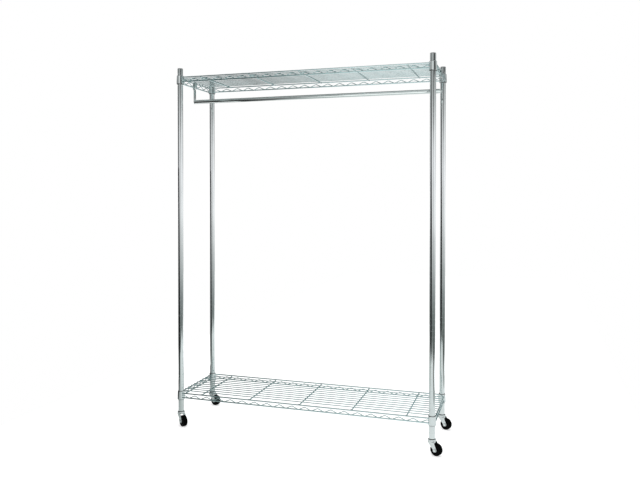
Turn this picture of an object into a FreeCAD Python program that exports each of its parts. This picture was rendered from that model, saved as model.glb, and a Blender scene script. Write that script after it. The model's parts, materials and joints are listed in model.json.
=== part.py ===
import FreeCAD, Part
import math
import os

# Rolling clothes rack: four grooved posts on swivel casters carry two wire
# shelves, and a hang rod is hooked under the upper one.
# Millimetres. X runs along the rack, Y from front to back, Z up from the floor,
# and the origin is on the floor under the middle of the four posts.

V = FreeCAD.Vector
X_AXIS = V(1, 0, 0)
Y_AXIS = V(0, 1, 0)
Z_AXIS = V(0, 0, 1)
inch = 25.4

# ---- clearances -------------------------------------------------------------
weld_gap = 0.05          # between wires that are spot welded to each other
press_gap = 0.05         # round a plug, insert or sleeve pushed into its seat
running_gap = 0.06       # round a shaft that turns
swivel_gap = 0.3         # between the fixed and the turning half of a swivel

# ---- posts ------------------------------------------------------------------
post_diameter = 1.0 * inch
post_wall = 1.2
post_length = 64.0 * inch
lower_post_length = 18.0 * inch
post_span_x = 47.0 * inch            # between post centres
post_span_y = 13.0 * inch
groove_pitch = 1.0 * inch
groove_width = 2.0
groove_depth = 0.5
tube_end_chamfer = 0.6

cap_head_height = 4.0
cap_head_inset = 0.2                 # the head is this much inside the tube's outside
cap_plug_depth = 14.0
cap_wall = 2.0

joint_insert_length = 30.0
joint_stud_diameter = 10.0
joint_stud_length = 50.0

# ---- shelves ----------------------------------------------------------------
bottom_shelf_groove = 3              # grooves up from the foot of the post
top_shelf_groove = 2                 # grooves down from its head
collar_height = 38.0
collar_wall = 2.0
collar_chamfer = 0.6
sleeve_wall_top = 1.2                # the sleeve is a taper, thin end up
sleeve_wall_bottom = 2.5
sleeve_lip_top = 1.5                 # what shows of the sleeve above the collar
sleeve_lip_bottom = 2.0
sleeve_bead_width = 1.4
sleeve_bead_gap = 0.1
sleeve_slot = 1.0                    # the slit between the two halves

rail_diameter = 5.5
rail_offset = 10.5                   # of the edge wires, outwards from the post centres
rail_spacing = 20.5                  # between an upper and a lower edge wire
long_rail_drop = 8.0                 # of the upper long wire below the collar's top
end_rail_drop = 11.5                 # of the upper end wire below the collar's top
snake_diameter = 3.8
snake_pitch = 2.4 * inch
snake_bend_radius = 14.0
deck_wire_diameter = 4.0
deck_wire_count = 10
deck_wire_pitch = 30.0
deck_wire_overhang = 1.0             # past the middle of the end wires
brace_diameter = 5.5
brace_count = 5
brace_pitch = 9.6 * inch
brace_bend_radius = 6.0

# ---- hanging rod ------------------------------------------------------------
rod_diameter = 0.75 * inch
rod_wall = 1.2
rod_drop = 4.0 * inch                # rod centre below the top shelf's collars
rod_plug_length = 18.0
hanger_width = 20.0
hanger_thickness = 3.0
hook_clearance = 0.25                # on each side of the end wires
hook_inner_reach = 4.0               # of the inner leg below the lower end wire
hook_neck = 3.0                      # from the lower end wire to the strip's joggle
hanger_shift = 1.0                   # of the strip's middle, outwards from the end wires
screw_diameter = 6.0
screw_length = 16.0
screw_head_diameter = 11.0
screw_head_height = 3.0

# ---- casters ----------------------------------------------------------------
wheel_diameter = 2.0 * inch
wheel_width = 20.0
wheel_side_gap = 1.4                 # from the tyre to the fork's leg
caster_height = 66.0                 # from the floor to the socket under the post
caster_trail = 22.0
caster_rest_angle = {                # heading of each fork from +X, degrees
    "front_left": -34.0,
    "front_right": -24.0,
    "back_right": -22.0,
    "back_left": -16.0,
}
socket_flange = 2.0
socket_depth = 35.0
stem_diameter = 10.0
stem_reach = 30.0                    # above the socket's flange
rivet_diameter = 15.0
rivet_height = 2.8
race_diameter = 34.0
race_thickness = 2.0
ball_diameter = 4.4
ball_gap = 0.05
ball_count = 10
ball_circle = 22.0
fork_thickness = 2.0
fork_crown_thickness = 2.2
fork_bend_radius = 4.0
fork_foot_radius = 8.0
fork_top_back = 13.0                 # the leg's top edge runs from here behind the stem
fork_top_front = 17.0                # to here ahead of it
fork_shoulder = 3.0                  # how much lower the leg's back corner sits
axle_diameter = 8.0
axle_head_width = 13.0
axle_head_height = 4.0
axle_nut_height = 5.0
axle_end = 1.5                       # of thread past the nut
bush_diameter = 11.0
bush_end_gap = 0.05
hub_diameter = 18.0
hub_end_gap = 0.5
web_thickness = 6.0
rim_thickness = 3.4
rim_inset = 0.5                      # of the rim's sides inside the tyre's
tyre_thickness = 4.9
tyre_shoulder = 3.0

# ---- worked out from the above ----------------------------------------------
post_radius = post_diameter / 2
post_bore = post_radius - post_wall
post_foot = caster_height + socket_flange
post_head = post_foot + post_length
post_seam = post_foot + lower_post_length
head_groove = int(post_length / groove_pitch) - top_shelf_groove
shelf_collar_top = {
    "bottom": post_foot + bottom_shelf_groove * groove_pitch + collar_height / 2,
    "top": post_foot + head_groove * groove_pitch + collar_height / 2,
}
rail_radius = rail_diameter / 2
deck_radius = deck_wire_diameter / 2
brace_radius = brace_diameter / 2
long_rail_y = post_span_y / 2 + rail_offset
end_rail_x = post_span_x / 2 + rail_offset
deck_drop = end_rail_drop - rail_radius - deck_radius - weld_gap
brace_drop = deck_drop + deck_radius + brace_radius + weld_gap
rod_height = shelf_collar_top["top"] - rod_drop
rod_radius = rod_diameter / 2
strip_inner_x = end_rail_x + hanger_shift - hanger_thickness / 2
axle_height = wheel_diameter / 2
leg_inside = wheel_width / 2 + wheel_side_gap
leg_outside = leg_inside + fork_thickness
race_plate_bottom = caster_height - race_thickness
crown_top = race_plate_bottom - ball_diameter - 2 * ball_gap
crown_bottom = crown_top - fork_crown_thickness
skirt_bottom = crown_top + swivel_gap

corners = {
    "front_left": (-post_span_x / 2, -post_span_y / 2),
    "front_right": (post_span_x / 2, -post_span_y / 2),
    "back_right": (post_span_x / 2, post_span_y / 2),
    "back_left": (-post_span_x / 2, post_span_y / 2),
}


# ---- helpers ----------------------------------------------------------------
def outward(solid):
    if solid.Volume < 0:
        solid.reverse()
    return solid


def turned(profile, angle=360.0):
    """Solid of revolution about Z from (radius, height) points."""
    points = [V(r, 0, z) for r, z in profile]
    face = Part.Face(Part.makePolygon(points + points[:1]))
    return outward(face.revolve(V(0, 0, 0), Z_AXIS, angle))


def rod_between(start, end, radius):
    return Part.makeCylinder(radius, (end - start).Length, start, end - start)


def moved(solid, x=0.0, y=0.0, z=0.0):
    copy = solid.copy()
    copy.translate(V(x, y, z))
    return copy


def at_corners(solid, side=""):
    return [moved(solid, x, y) for corner, (x, y) in corners.items() if corner.endswith(side)]


def save(name, solids):
    solids = solids if isinstance(solids, list) else [solids]
    shape = solids[0] if len(solids) == 1 else Part.makeCompound(solids)
    shape.exportStep("parts/" + name + ".step")


# ---- posts ------------------------------------------------------------------
def post_section(bottom, top):
    """Tube from bottom to top, with a groove at each whole pitch above the foot."""
    outside = [(post_radius - tube_end_chamfer, bottom), (post_radius, bottom + tube_end_chamfer)]
    first = math.ceil((bottom - post_foot) / groove_pitch)
    last = math.floor((top - post_foot) / groove_pitch)
    for number in range(first, last + 1):
        z = post_foot + number * groove_pitch
        if z - bottom < groove_width or top - z < groove_width:
            continue
        outside += [
            (post_radius, z - groove_width / 2),
            (post_radius - groove_depth, z - groove_width / 4),
            (post_radius - groove_depth, z + groove_width / 4),
            (post_radius, z + groove_width / 2),
        ]
    outside += [(post_radius, top - tube_end_chamfer), (post_radius - tube_end_chamfer, top)]
    return turned(outside + [(post_bore, top), (post_bore, bottom)])


def post_cap():
    head = post_radius - cap_head_inset
    plug = post_bore - press_gap
    rounding = cap_head_height / 2
    top = post_head + cap_head_height
    return turned([
        (0, post_head), (plug - cap_wall, post_head), (plug - cap_wall, post_head - cap_plug_depth),
        (plug, post_head - cap_plug_depth), (plug, post_head), (head, post_head),
        (head, top - rounding), (head - rounding / 3, top - rounding / 3),
        (head - rounding, top), (0, top),
    ])


def joint_insert(bottom):
    """Threaded plug pressed into a tube end at the seam."""
    bore = joint_stud_diameter / 2 + press_gap
    return turned([
        (bore, bottom), (post_bore - press_gap, bottom),
        (post_bore - press_gap, bottom + joint_insert_length), (bore, bottom + joint_insert_length),
    ])


def joint_stud():
    half = joint_stud_length / 2
    return Part.makeCylinder(joint_stud_diameter / 2, 2 * half, V(0, 0, post_seam - half))


def build_posts():
    lower = post_section(post_foot, post_seam)
    upper = post_section(post_seam, post_head)
    cap = post_cap()
    for corner, (x, y) in corners.items():
        save(corner + "_lower_post", moved(lower, x, y))
        save(corner + "_upper_post", moved(upper, x, y))
        save(corner + "_post_cap", moved(cap, x, y))
    inserts = [joint_insert(post_seam - joint_insert_length), joint_insert(post_seam)]
    save("post_joint_inserts", [one for insert in inserts for one in at_corners(insert)])
    save("post_joint_studs", at_corners(joint_stud()))


# ---- shelves ----------------------------------------------------------------
# A shelf is drawn with its collars' tops at height 0 and lifted into place.
def sleeve_radius(height):
    """Outside of the tapered sleeve at a height; the collar's bore follows it."""
    share = -height / collar_height
    wall = sleeve_wall_top + share * (sleeve_wall_bottom - sleeve_wall_top)
    return post_radius + press_gap + wall


def collar_radius(height):
    return sleeve_radius(height) + press_gap + collar_wall


def corner_collar():
    low = -collar_height
    edge = collar_chamfer
    return turned([
        (sleeve_radius(low) + press_gap, low), (collar_radius(low) - edge, low),
        (collar_radius(low + edge), low + edge), (collar_radius(-edge), -edge),
        (collar_radius(0) - edge, 0), (sleeve_radius(0) + press_gap, 0),
    ])


def sleeve_halves():
    bore = post_radius + press_gap
    tip = post_radius - groove_depth + sleeve_bead_gap
    middle = -collar_height / 2
    bead = sleeve_bead_width / 2
    high, low = sleeve_lip_top, -collar_height - sleeve_lip_bottom
    slot_angle = math.degrees(sleeve_slot / post_radius)
    half = turned([
        (bore, low), (sleeve_radius(low), low), (sleeve_radius(high), high), (bore, high),
        (bore, middle + bead), (tip, middle + bead / 2), (tip, middle - bead / 2),
        (bore, middle - bead),
    ], 180.0 - slot_angle)
    half.rotate(V(0, 0, 0), Z_AXIS, slot_angle / 2)
    other = half.copy()
    other.rotate(V(0, 0, 0), Z_AXIS, 180.0)
    return [half, other]


def collar_seats():
    """What the corner collars keep clear of the wires that are welded to them."""
    gap = weld_gap
    seat = turned([
        (0, -collar_height), (collar_radius(-collar_height) + gap, -collar_height),
        (collar_radius(0) + gap, 0), (0, 0),
    ])
    return at_corners(seat)


def coped(wire, seats):
    """A wire cut to the round of the collars that it ends on."""
    for seat in seats:
        if wire.distToShape(seat)[0] < weld_gap:
            wire = wire.cut(seat)
    return max(wire.Solids, key=lambda piece: piece.Volume)


def long_rails(seats):
    rails = []
    for y in (-long_rail_y, long_rail_y):
        for drop in (long_rail_drop, long_rail_drop + rail_spacing):
            ends = V(-post_span_x / 2, y, -drop), V(post_span_x / 2, y, -drop)
            rails.append(coped(rod_between(*ends, rail_radius), seats))
    return rails


def end_rails(seats):
    rails = []
    for x in (-end_rail_x, end_rail_x):
        for drop in (end_rail_drop, end_rail_drop + rail_spacing):
            ends = V(x, -post_span_y / 2, -drop), V(x, post_span_y / 2, -drop)
            rails.append(coped(rod_between(*ends, rail_radius), seats))
    return rails


def snake_wire(half_length, crest_in_middle):
    """Wavy wire along X between two edge wires that lie at +-rail_spacing/2 in Z."""
    radius = snake_bend_radius
    reach = rail_spacing / 2 - rail_radius - snake_diameter / 2 - weld_gap
    half_pitch = snake_pitch / 2
    rise = 2 * (radius - reach)
    slope = math.asin(2 * radius / math.hypot(half_pitch, rise)) - math.atan2(rise, half_pitch)
    across, down = radius * math.sin(slope), radius * (1 - math.cos(slope))
    count = math.ceil(half_length / half_pitch)
    edges = []
    leaving = None
    for number in range(-count, count + 1):
        up = 1 if (number % 2 == 0) == crest_in_middle else -1
        middle = V(number * half_pitch, 0, up * reach)
        before = middle + V(-across, 0, -up * down)
        after = middle + V(across, 0, -up * down)
        if leaving:
            edges.append(Part.makeLine(leaving, before))
        edges.append(Part.Arc(before, middle, after).toShape())
        leaving = after
    path = Part.Wire(edges)
    start = edges[0].Vertexes[0].Point
    heading = edges[0].tangentAt(edges[0].FirstParameter)
    profile = Part.Wire(Part.makeCircle(snake_diameter / 2, start, heading))
    pipe = outward(path.makePipeShell([profile], True, False))
    box = Part.makeBox(2 * half_length, 2 * rail_spacing, 2 * rail_spacing,
                       V(-half_length, -rail_spacing, -rail_spacing))
    return outward(pipe.common(box).Solids[0])


def long_snakes(seats):
    wire = snake_wire(post_span_x / 2, False)
    z = -long_rail_drop - rail_spacing / 2
    return [coped(moved(wire, 0, y, z), seats) for y in (-long_rail_y, long_rail_y)]


def end_snakes(seats):
    wire = snake_wire(post_span_y / 2, True)
    wire.rotate(V(0, 0, 0), Z_AXIS, 90.0)
    z = -end_rail_drop - rail_spacing / 2
    return [coped(moved(wire, x, 0, z), seats) for x in (-end_rail_x, end_rail_x)]


def deck_wires():
    reach = end_rail_x + deck_wire_overhang
    wires = []
    for number in range(deck_wire_count):
        y = (number - (deck_wire_count - 1) / 2) * deck_wire_pitch
        wires.append(rod_between(V(-reach, y, -deck_drop), V(reach, y, -deck_drop), deck_radius))
    return wires


def cross_braces():
    """Wires under the deck, their ends turned up inside the long edge wires."""
    radius = brace_bend_radius
    tip = long_rail_y - rail_radius - brace_radius - weld_gap
    bend = tip - radius
    diagonal = radius * math.sqrt(0.5)
    line = Part.makeLine(V(0, -bend, 0), V(0, bend, 0))
    front = Part.Arc(V(0, -tip, radius), V(0, -bend - diagonal, radius - diagonal), V(0, -bend, 0))
    back = Part.Arc(V(0, bend, 0), V(0, bend + diagonal, radius - diagonal), V(0, tip, radius))
    path = Part.Wire([front.toShape(), line, back.toShape()])
    profile = Part.Wire(Part.makeCircle(brace_radius, V(0, -tip, radius), Z_AXIS))
    brace = outward(path.makePipeShell([profile], True, False))
    middle = (brace_count - 1) / 2
    return [moved(brace, (number - middle) * brace_pitch, 0, -brace_drop)
            for number in range(brace_count)]


def build_shelf(name, height):
    seats = collar_seats()
    pieces = {
        "collars": at_corners(corner_collar()),
        "left_sleeves": [one for half in sleeve_halves() for one in at_corners(half, "left")],
        "right_sleeves": [one for half in sleeve_halves() for one in at_corners(half, "right")],
        "long_edge_wires": long_rails(seats),
        "end_wires": end_rails(seats),
        "long_snake_wires": long_snakes(seats),
        "end_snake_wires": end_snakes(seats),
        "deck_wires": deck_wires(),
        "cross_braces": cross_braces(),
    }
    for piece, solids in pieces.items():
        save(name + "_shelf_" + piece, [moved(solid, z=height) for solid in solids])


# ---- hanging rod ------------------------------------------------------------
def hang_rod():
    half = strip_inner_x - press_gap
    tube = rod_between(V(-half, 0, rod_height), V(half, 0, rod_height), rod_radius)
    bore = rod_between(V(-half, 0, rod_height), V(half, 0, rod_height), rod_radius - rod_wall)
    return tube.cut(bore)


def rod_plug():
    """Turned plug in the rod's right end, with a hole for the bracket screw."""
    end = strip_inner_x - press_gap
    start = end - rod_plug_length
    body = rod_between(V(start, 0, rod_height), V(end, 0, rod_height),
                       rod_radius - rod_wall - press_gap)
    hole = rod_between(V(start, 0, rod_height), V(end, 0, rod_height),
                       screw_diameter / 2 + press_gap)
    return body.cut(hole)


def hanger_bracket():
    """Strip hooked over the right end wires, joggled in, with a round foot."""
    thick = hanger_thickness
    upper = shelf_collar_top["top"] - end_rail_drop
    lower = upper - rail_spacing
    slot = rail_radius + hook_clearance
    slot_top = upper + rail_radius + weld_gap
    strip_outer_x = strip_inner_x + thick
    joggle_top = lower - rail_radius - hook_neck
    joggle_bottom = joggle_top - 2 * (end_rail_x + slot - strip_inner_x)
    foot = rod_height
    outline = [
        (end_rail_x - slot - thick, lower - rail_radius - hook_inner_reach),
        (end_rail_x - slot - thick, slot_top + thick / 2),
        (end_rail_x - slot - thick / 2, slot_top + thick),
        (end_rail_x + slot + thick / 2, slot_top + thick),
        (end_rail_x + slot + thick, slot_top + thick / 2),
        (end_rail_x + slot + thick, joggle_top),
        (strip_outer_x, joggle_bottom),
        (strip_outer_x, foot),
        (strip_inner_x, foot),
        (strip_inner_x, joggle_bottom),
        (end_rail_x + slot, joggle_top),
        (end_rail_x + slot, slot_top),
        (end_rail_x - slot, slot_top),
        (end_rail_x - slot, lower - rail_radius - hook_inner_reach),
    ]
    points = [V(x, -hanger_width / 2, z) for x, z in outline]
    strip = Part.Face(Part.makePolygon(points + points[:1])).extrude(V(0, hanger_width, 0))
    foot_start, foot_end = V(strip_inner_x, 0, foot), V(strip_outer_x, 0, foot)
    bracket = outward(strip).fuse(rod_between(foot_start, foot_end, hanger_width / 2))
    hole = rod_between(foot_start - X_AXIS, foot_end + X_AXIS, screw_diameter / 2 + press_gap)
    return bracket.removeSplitter().cut(hole).Solids[0]


def hanger_screw():
    seat = strip_inner_x + hanger_thickness
    shank = rod_between(V(seat - screw_length, 0, rod_height), V(seat, 0, rod_height),
                        screw_diameter / 2)
    radius, height = screw_head_diameter / 2, screw_head_height
    head = turned([(0, 0), (radius, 0), (radius, height / 2), (radius - height / 3, height * 0.9),
                   (radius / 2, height), (0, height)])
    head.rotate(V(0, 0, 0), Y_AXIS, 90.0)
    return shank.fuse(moved(head, seat, 0, rod_height)).removeSplitter().Solids[0]


def both_ends(solid):
    """The right-hand piece and its mirror image at the left end."""
    return [outward(solid.mirror(V(0, 0, 0), X_AXIS)), solid]


def build_hanging():
    save("hang_rod", hang_rod())
    save("rod_end_plugs", both_ends(rod_plug()))
    save("hanger_brackets", both_ends(hanger_bracket()))
    save("hanger_screws", both_ends(hanger_screw()))


# ---- casters ----------------------------------------------------------------
# A caster is drawn round the Z axis with its wheel trailing along +X.
def caster_socket():
    stem = stem_diameter / 2 + press_gap
    plug = post_bore - press_gap
    return turned([
        (stem, caster_height), (post_radius, caster_height), (post_radius, post_foot),
        (plug, post_foot), (plug, post_foot + socket_depth), (stem, post_foot + socket_depth),
    ])


def caster_stem():
    """Pin fixed in the socket, with its lower end riveted over under the fork."""
    radius, head = stem_diameter / 2, rivet_diameter / 2
    seat = crown_bottom - ball_gap
    return turned([
        (0, seat - rivet_height), (head - rivet_height / 2, seat - rivet_height),
        (head, seat - rivet_height / 2), (head, seat), (radius, seat),
        (radius, caster_height + stem_reach - 1), (radius - 1, caster_height + stem_reach),
        (0, caster_height + stem_reach),
    ])


def top_race():
    """Plate under the socket with a skirt round the balls."""
    bore = stem_diameter / 2 + press_gap
    outside = race_diameter / 2
    inside = outside - race_thickness
    return turned([
        (bore, race_plate_bottom), (inside, race_plate_bottom), (inside, skirt_bottom),
        (outside, skirt_bottom), (outside, caster_height - race_thickness),
        (outside - race_thickness, caster_height), (bore, caster_height),
    ])


def bearing_balls():
    z = race_plate_bottom - ball_gap - ball_diameter / 2
    balls = []
    for number in range(ball_count):
        angle = 2 * math.pi * number / ball_count
        centre = V(ball_circle / 2 * math.cos(angle), ball_circle / 2 * math.sin(angle), z)
        balls.append(Part.makeSphere(ball_diameter / 2, centre))
    return balls


def tangent_angle(x, z, side):
    """Where a line from (x, z) touches the fork's round foot, as an angle about the axle."""
    away_x, away_z = x - caster_trail, z - axle_height
    return math.atan2(away_z, away_x) + side * math.acos(
        fork_foot_radius / math.hypot(away_x, away_z))


def foot_point(angle, y):
    return V(caster_trail + fork_foot_radius * math.cos(angle), y,
             axle_height + fork_foot_radius * math.sin(angle))


def fork_side():
    """Outline of a leg seen from the side, as a slab across the whole fork."""
    y = -leg_outside
    back_z = crown_top - fork_shoulder
    back = tangent_angle(-fork_top_back, back_z, 1) - 2 * math.pi
    front = tangent_angle(fork_top_front, crown_top, -1)
    back_end, front_end = foot_point(back, y), foot_point(front, y)
    corners_round = [front_end, V(fork_top_front, y, crown_top), V(-fork_top_back, y, crown_top),
                     V(-fork_top_back, y, back_z), back_end]
    edges = [Part.makeLine(a, b) for a, b in zip(corners_round, corners_round[1:])]
    edges.append(Part.Arc(back_end, foot_point((back + front) / 2, y), front_end).toShape())
    return outward(Part.Face(Part.Wire(edges)).extrude(V(0, 2 * leg_outside, 0)))


def fork_section():
    """Upside-down channel with rounded shoulders, running along X."""
    bottom = axle_height - fork_foot_radius
    start, length = -fork_top_back, fork_top_back + caster_trail + fork_foot_radius
    block = Part.makeBox(length, 2 * leg_outside, crown_top - bottom,
                         V(start, -leg_outside, bottom))
    shoulders = [edge for edge in block.Edges
                 if edge.BoundBox.XLength > length / 2 and edge.BoundBox.ZMin > bottom + 1]
    block = block.makeFillet(fork_bend_radius, shoulders)
    hollow = Part.makeBox(length, 2 * leg_inside, crown_bottom - bottom,
                          V(start, -leg_inside, bottom))
    inner = [edge for edge in hollow.Edges
             if edge.BoundBox.XLength > length / 2 and edge.BoundBox.ZMin > bottom + 1]
    return block.cut(hollow.makeFillet(fork_bend_radius - fork_thickness, inner))


def fork():
    shell = fork_section().common(fork_side())
    seat = Part.makeCylinder(race_diameter / 2 - 0.5, fork_crown_thickness,
                             V(0, 0, crown_bottom))
    stem_hole = Part.makeCylinder(stem_diameter / 2 + running_gap,
                                  4 * fork_crown_thickness, V(0, 0, crown_bottom - 2))
    axle_hole = rod_between(V(caster_trail, -2 * leg_outside, axle_height),
                            V(caster_trail, 2 * leg_outside, axle_height),
                            axle_diameter / 2 + press_gap)
    return shell.fuse(seat).removeSplitter().cut(stem_hole).cut(axle_hole).Solids[0]


def across(solid):
    """A piece drawn about Z, laid on the wheel's axle."""
    solid.rotate(V(0, 0, 0), X_AXIS, 90.0)
    solid.translate(V(caster_trail, 0, axle_height))
    return solid


def hexagon(width, height, z):
    radius = width / math.sqrt(3)
    points = [V(radius * math.cos(math.radians(60 * k)), radius * math.sin(math.radians(60 * k)), z)
              for k in range(6)]
    return Part.Face(Part.makePolygon(points + points[:1])).extrude(V(0, 0, height))


def axle_bolt():
    face = leg_outside + press_gap
    length = 2 * face + axle_nut_height + axle_end
    shank = Part.makeCylinder(axle_diameter / 2, length, V(0, 0, -face))
    head = hexagon(axle_head_width, axle_head_height, -face - axle_head_height)
    nut = hexagon(axle_head_width, axle_nut_height, face)
    nut = nut.cut(Part.makeCylinder(axle_diameter / 2 + press_gap, length, V(0, 0, 0)))
    return [across(outward(shank.fuse(head).removeSplitter().Solids[0])),
            across(outward(nut.Solids[0]))]


def spacer_bush():
    half = leg_inside - bush_end_gap
    bore = axle_diameter / 2 + press_gap
    return across(turned([(bore, -half), (bush_diameter / 2, -half),
                          (bush_diameter / 2, half), (bore, half)]))


def wheel_core():
    bore = bush_diameter / 2 + running_gap
    hub, web = hub_diameter / 2, web_thickness / 2
    hub_half = leg_inside - hub_end_gap
    rim = wheel_diameter / 2 - tyre_thickness - press_gap
    rim_half = wheel_width / 2 - rim_inset
    inside = rim - rim_thickness
    half = [(hub, hub_half), (hub, web), (inside, web), (inside, rim_half), (rim, rim_half)]
    mirrored = [(r, -z) for r, z in reversed(half)]
    return across(turned([(bore, -hub_half), (bore, hub_half)] + half + mirrored))


def tyre():
    outside = wheel_diameter / 2
    inside = outside - tyre_thickness
    half = wheel_width / 2
    flat = half - tyre_shoulder
    steps = 4
    side = []
    for number in range(steps + 1):
        angle = math.pi / 2 * number / steps
        side.append((outside - tyre_shoulder / 2 * (1 - math.cos(angle)),
                     flat + tyre_shoulder * math.sin(angle)))
    lower = [(r, -z) for r, z in reversed(side)]
    return across(turned([(inside, half)] + list(reversed(side)) + list(reversed(lower))
                         + [(inside, -half)]))


def build_casters():
    save("caster_sockets", at_corners(caster_socket()))
    save("caster_stems", at_corners(caster_stem()))
    save("caster_top_races", at_corners(top_race()))
    save("swivel_bearing_balls", [ball for one in bearing_balls() for ball in at_corners(one)])
    pieces = {
        "caster_fork": [fork()],
        "caster_axle_bolt": axle_bolt(),
        "caster_spacer_bush": [spacer_bush()],
        "wheel_core": [wheel_core()],
        "tyre": [tyre()],
    }
    for corner, (x, y) in corners.items():
        for piece, solids in pieces.items():
            placed = [moved(solid) for solid in solids]
            for solid in placed:
                solid.rotate(V(0, 0, 0), Z_AXIS, caster_rest_angle[corner])
                solid.translate(V(x, y, 0))
            save(corner + "_" + piece, placed)


os.makedirs("parts", exist_ok=True)
build_posts()
for shelf, collar_top in shelf_collar_top.items():
    build_shelf(shelf, collar_top)
build_hanging()
build_casters()
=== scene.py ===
import json
import math
import bmesh
import bpy
from mathutils import Matrix, Vector


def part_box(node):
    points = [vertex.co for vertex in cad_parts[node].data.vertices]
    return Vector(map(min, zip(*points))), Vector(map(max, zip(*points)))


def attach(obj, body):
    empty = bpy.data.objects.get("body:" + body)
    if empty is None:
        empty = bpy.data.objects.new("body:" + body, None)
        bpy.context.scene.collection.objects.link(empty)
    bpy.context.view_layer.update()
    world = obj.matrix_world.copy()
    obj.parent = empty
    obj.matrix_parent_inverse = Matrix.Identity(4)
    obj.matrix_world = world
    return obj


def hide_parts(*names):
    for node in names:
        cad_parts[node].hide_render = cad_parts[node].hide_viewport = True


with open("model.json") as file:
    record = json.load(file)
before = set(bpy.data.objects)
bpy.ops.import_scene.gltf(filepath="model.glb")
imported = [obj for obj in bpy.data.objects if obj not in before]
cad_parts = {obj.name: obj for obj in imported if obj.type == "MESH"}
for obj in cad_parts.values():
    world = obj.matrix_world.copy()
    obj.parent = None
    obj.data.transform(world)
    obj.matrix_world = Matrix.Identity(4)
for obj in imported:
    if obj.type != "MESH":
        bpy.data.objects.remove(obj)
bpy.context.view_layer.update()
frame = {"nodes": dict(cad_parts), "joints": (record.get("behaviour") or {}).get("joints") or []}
print("frame loaded:", len(frame["nodes"]), "nodes")

mm = 0.001
weldGap = 0.005 * mm    # points nearer than this become one when a mesh is cleaned
joinGap = 0.01 * mm     # the same where repeats and mirrored halves meet
near = 0.01 * mm        # how near a point counts as being at a height
smoothBelow = 35        # degrees between two faces that are still shaded as one surface
corners = ["front_left", "front_right", "back_right", "back_left"]
shelves = ["bottom", "top"]


# selecting and editing

def clearSelection():
    if bpy.context.mode != "OBJECT":
        bpy.ops.object.mode_set(mode="OBJECT")
    bpy.ops.object.select_all(action="DESELECT")


def makeActive(piece):
    clearSelection()
    piece.select_set(True)
    bpy.context.view_layer.objects.active = piece


def openForEdit(piece):
    makeActive(piece)
    bpy.ops.object.mode_set(mode="EDIT")
    bpy.ops.mesh.select_all(action="SELECT")


def pickPoints(piece, wanted):
    # in edit mode: selects the points whose place is wanted, and all that lies between them
    bpy.ops.mesh.select_mode(type="VERT")
    bpy.ops.mesh.select_all(action="DESELECT")
    mesh = bmesh.from_edit_mesh(piece.data)
    for point in mesh.verts:
        point.select = bool(wanted(point.co))
    mesh.select_flush(True)
    bmesh.update_edit_mesh(piece.data)


def pickEdges(piece, wanted):
    # in edit mode: selects only the edges whose pair of ends is wanted
    bpy.ops.mesh.select_mode(type="EDGE")
    bpy.ops.mesh.select_all(action="DESELECT")
    mesh = bmesh.from_edit_mesh(piece.data)
    for edge in mesh.edges:
        edge.select = bool(wanted(edge.verts[0].co, edge.verts[1].co))
    mesh.select_flush_mode()
    bmesh.update_edit_mesh(piece.data)


def settle(name="piece"):
    bpy.ops.object.transform_apply(location=True, rotation=True, scale=True)
    piece = bpy.context.object
    piece.name = name
    return piece


def push(x, y, z):
    bpy.ops.mesh.extrude_region_move(TRANSFORM_OT_translate={"value": (x, y, z)})


def bend(centre, axis, degrees, steps):
    # the spin tool turns left-handed, so the sign is changed to make the bend right-handed
    bpy.ops.mesh.spin(steps=steps, angle=-math.radians(degrees), center=centre, axis=axis)


def cleanFaces():
    bpy.ops.mesh.select_mode(type="VERT")
    bpy.ops.mesh.select_all(action="SELECT")
    bpy.ops.mesh.remove_doubles(threshold=weldGap)
    bpy.ops.mesh.normals_make_consistent(inside=False)
    bpy.ops.object.mode_set(mode="OBJECT")


def modify(piece, kind, **settings):
    makeActive(piece)
    modifier = piece.modifiers.new(kind.title(), kind)
    for name, value in settings.items():
        setattr(modifier, name, value)
    bpy.ops.object.modifier_apply(modifier=modifier.name)


def softenEdges(piece, width, steps, angle):
    modify(piece, "BEVEL", width=width, segments=steps, limit_method="ANGLE",
           angle_limit=math.radians(angle), harden_normals=False)


def copyOf(piece, shift=(0, 0, 0), turn=0.0):
    twin = piece.copy()
    twin.data = piece.data.copy()
    bpy.context.scene.collection.objects.link(twin)
    twin.data.transform(Matrix.Translation(shift) @ Matrix.Rotation(math.radians(turn), 4, "Z"))
    return twin


def joinAll(pieces, name):
    makeActive(pieces[0])
    for piece in pieces:
        piece.select_set(True)
    bpy.ops.object.join()
    pieces[0].name = name
    return pieces[0]


def finishPiece(piece, name, body, finish, nodes):
    makeActive(piece)
    bpy.ops.object.shade_smooth_by_angle(angle=math.radians(smoothBelow))
    piece.name = name
    piece.data.name = name
    piece.data.materials.clear()
    piece.data.materials.append(finish)
    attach(piece, body)
    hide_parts(*nodes)


def turnOnLathe(steps, sides, ring=False):
    # a circle is pushed up and scaled through the steps, each (radius, height); as a ring, the last
    # step meets the first round an open bore
    clearSelection()
    radius, height = steps[0]
    bpy.ops.mesh.primitive_circle_add(vertices=sides, radius=radius, location=(0, 0, height))
    piece = settle()
    openForEdit(piece)
    if not ring:
        bpy.ops.mesh.edge_face_add()
    for nextRadius, nextHeight in steps[1:] + ([steps[0]] if ring else []):
        push(0, 0, nextHeight - height)
        scale = nextRadius / radius
        bpy.ops.transform.resize(value=(scale, scale, 1), center_override=(0, 0, nextHeight))
        radius, height = nextRadius, nextHeight
    cleanFaces()
    return piece


# finishes: a Signal wraps a node's socket, so that shader maths reads as plain arithmetic

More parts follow.
